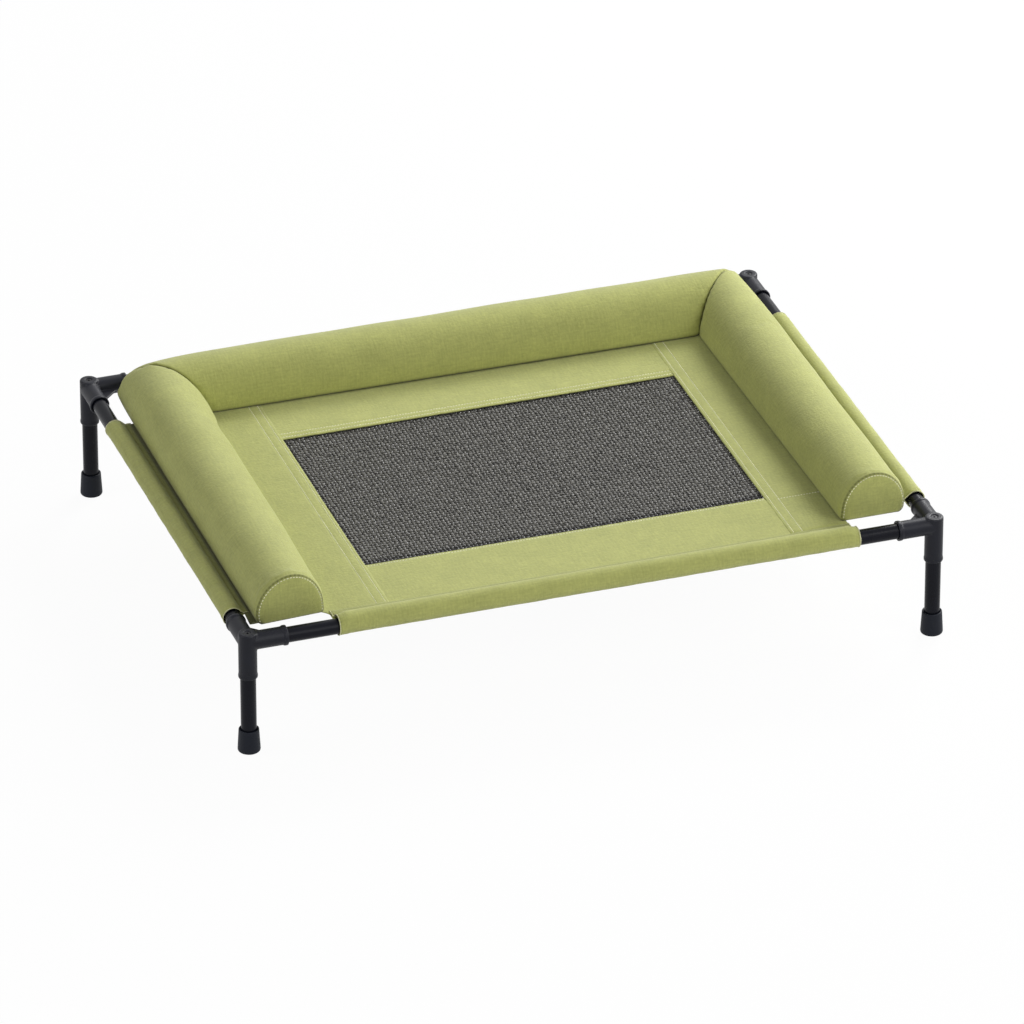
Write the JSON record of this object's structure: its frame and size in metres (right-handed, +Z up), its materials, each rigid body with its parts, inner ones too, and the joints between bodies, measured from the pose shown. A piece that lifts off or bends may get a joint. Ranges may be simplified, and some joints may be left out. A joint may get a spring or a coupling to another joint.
{
  "type": "raised dog cot",
  "caption": "Raised dog cot: black tube frame on rubber-footed legs, a taut green cloth sheet with a net window, and stuffed bolsters round the sides and rear.",
  "frame": {"origin": "on the floor, under the middle of the four legs", "axes": "+X along the long side to the right, +Y to the rear bolster, +Z up"},
  "size_m": [1.032, 0.788, 0.242],
  "materials": {
    "fitting": "moulded plastic with a fine grain",
    "tube": "satin black powder coat on steel tube",
    "foot": "matte moulded rubber",
    "screw": "blackened steel",
    "plug": "plain moulded plastic",
    "cloth": "woven olive-green cloth, slight sheen, pale topstitching",
    "net": "coated dark grey woven net",
    "filling": "loose white fibre"
  },
  "bodies": {
    "root": {"corner_front_left": "fitting", "corner_front_right": "fitting", "corner_rear_left": "fitting", "corner_rear_right": "fitting", "leg_front_left": "tube", "leg_front_right": "tube", "leg_rear_left": "tube", "leg_rear_right": "tube", "foot_front_left": "foot", "foot_front_right": "foot", "foot_rear_left": "foot", "foot_rear_right": "foot", "leg_screws": "screw", "leg_plugs": "plug", "front_rail_left": "tube", "front_rail_right": "tube", "rear_rail_left": "tube", "rear_rail_right": "tube", "left_rail": "tube", "right_rail": "tube", "front_sleeve": "cloth", "rear_sleeve": "cloth", "left_sleeve": "cloth", "right_sleeve": "cloth", "front_panel": "cloth", "rear_panel": "cloth", "left_panel": "cloth", "right_panel": "cloth", "net_panel": "net", "left_bolster_cover": "cloth", "rear_bolster_cover": "cloth", "right_bolster_cover": "cloth", "left_bolster_end": "cloth", "right_bolster_end": "cloth", "left_bolster_filling": "filling", "rear_bolster_filling": "filling", "right_bolster_filling": "filling"}
  },
  "joints": []
}
